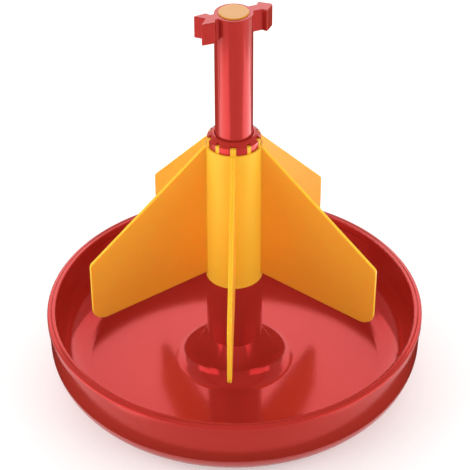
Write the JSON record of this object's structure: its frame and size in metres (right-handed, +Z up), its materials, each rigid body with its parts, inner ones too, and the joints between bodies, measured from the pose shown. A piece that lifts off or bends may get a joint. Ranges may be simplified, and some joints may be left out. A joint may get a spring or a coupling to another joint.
{
  "type": "piglet feeder pan",
  "caption": "Round feeder pan for piglets with a winged divider on a central column and a T-handled post that locks it to a slatted floor.",
  "frame": {"origin": "middle of the pan's underside, on the surface that the pan stands on", "axes": "+Z up along the column and the post; one wing of the divider points along -Y, towards the viewer"},
  "size_m": [0.27, 0.27, 0.2888],
  "materials": {
    "red_plastic": "glossy moulded polypropylene",
    "yellow_plastic": "semi-gloss moulded polypropylene",
    "zinc_steel": "bright zinc plate",
    "spring_steel": "drawn stainless wire"
  },
  "bodies": {
    "root": {"pan": "red_plastic", "divider": "yellow_plastic", "base_bush": "red_plastic", "return_spring": "spring_steel"},
    "lift": {"thrust_washer": "zinc_steel"},
    "lock": {"lock_post": "red_plastic", "post_plug": "yellow_plastic", "anchor_bolt": "zinc_steel", "stop_washer": "zinc_steel", "nut_washer": "zinc_steel", "lock_nut": "zinc_steel"}
  },
  "joints": [
    {"name": "post_push", "type": "slide", "parent": "root", "child": "lift", "axis": [0, 0, -1], "range_m": [0, 0.06], "stiffness_N_per_m": 500, "springref_m": -0.025, "deforming": ["return_spring"]},
    {"name": "post_turn", "type": "hinge", "parent": "lift", "child": "lock", "pos_m": [0, 0, 0.2879], "axis": [0, 0, -1], "range_deg": [0, 90]}
  ]
}
